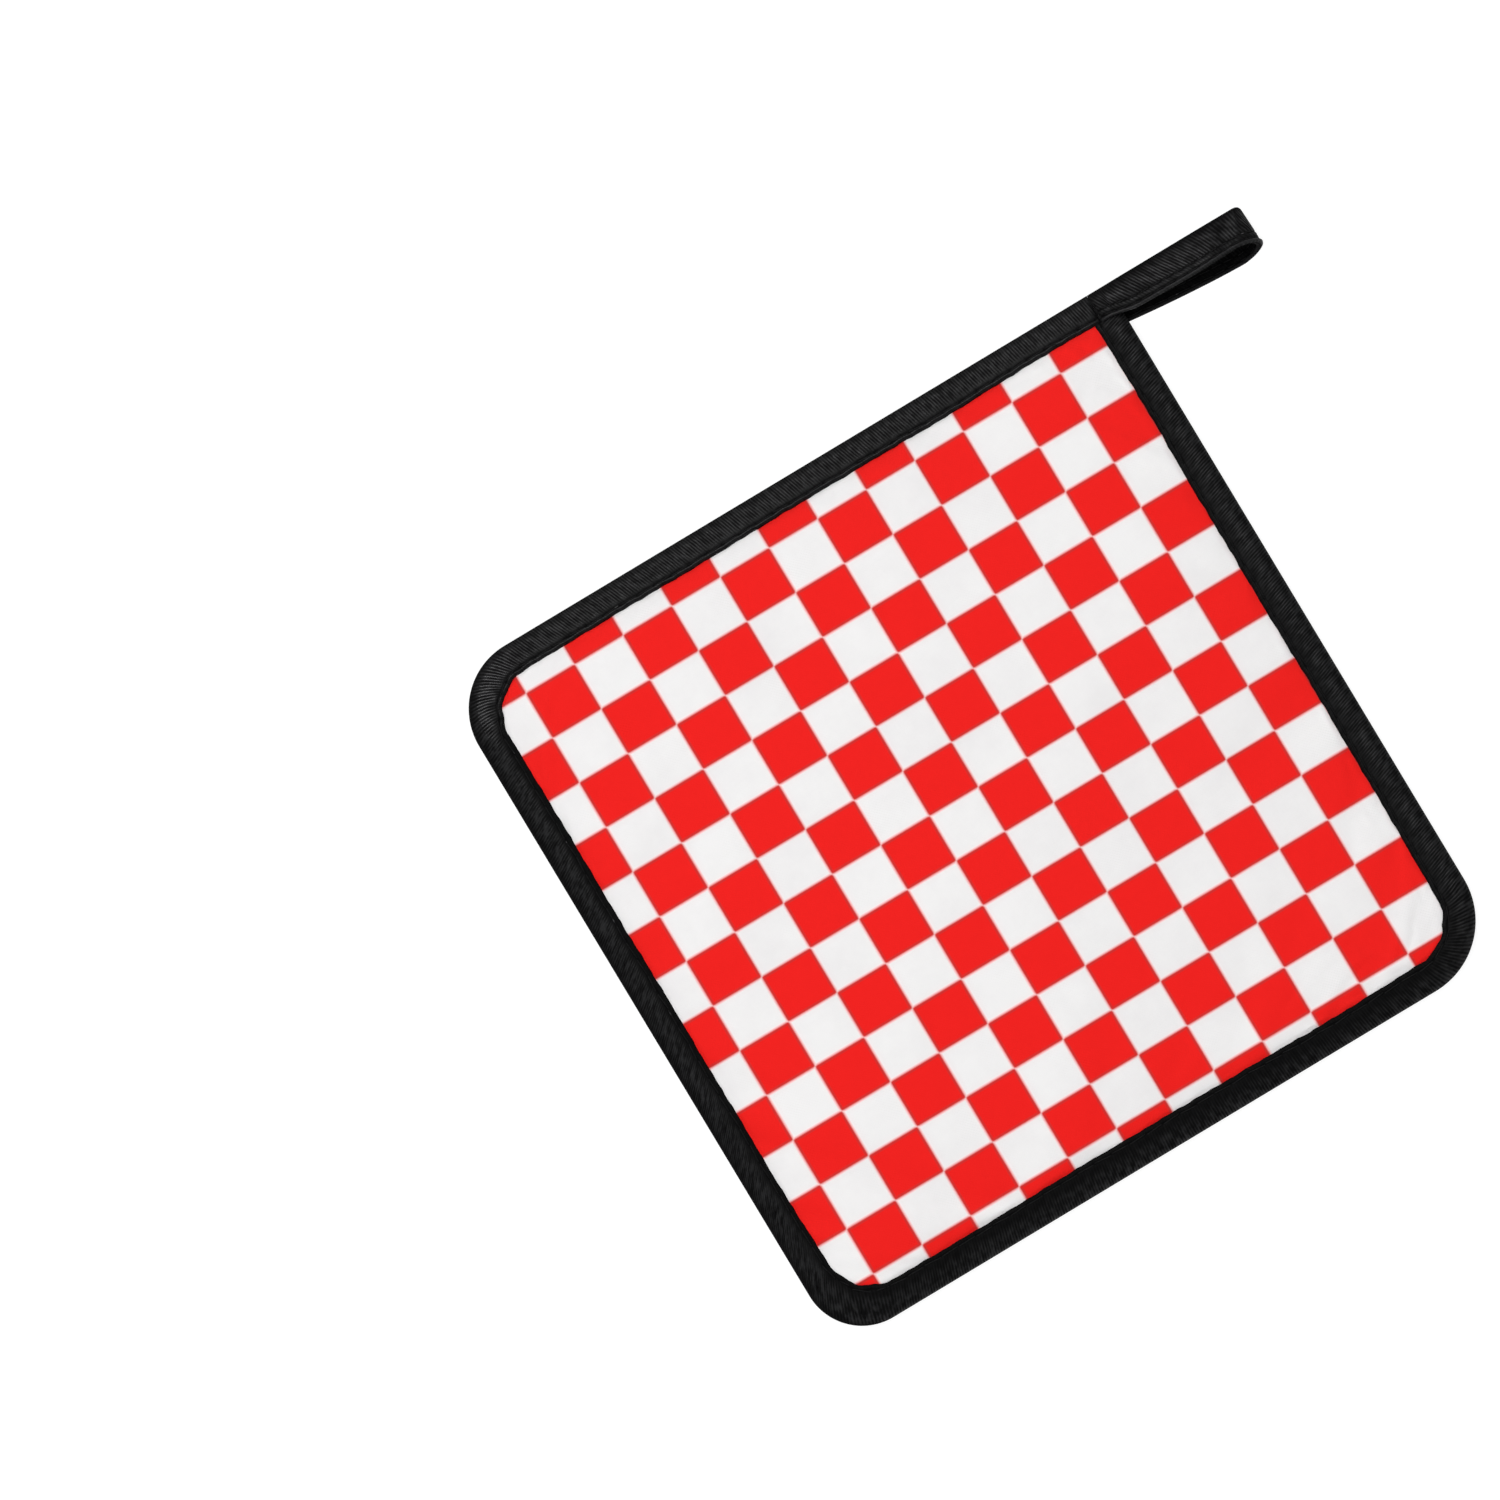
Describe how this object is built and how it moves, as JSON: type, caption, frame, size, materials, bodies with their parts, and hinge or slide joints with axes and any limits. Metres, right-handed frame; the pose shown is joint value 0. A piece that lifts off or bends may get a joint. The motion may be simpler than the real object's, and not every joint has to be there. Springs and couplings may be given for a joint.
{
  "type": "pot holder",
  "caption": "Square padded cloth pot holder with a red and white checked face, a black tape binding and a corner hanging loop.",
  "frame": {"origin": "middle of the flat spot on the back, which is the middle of the square", "axes": "+X along the edge that carries the hanging loop and towards the loop, +Y to that edge, +Z out of the printed face"},
  "size_m": [0.2157, 0.18, 0.0112],
  "materials": {
    "checked_cloth": "printed plain weave, matt",
    "black_tape": "woven black tape, low sheen"
  },
  "bodies": {
    "root": {"pad": "checked_cloth", "binding": "black_tape", "hanging_loop": "black_tape"}
  },
  "joints": []
}
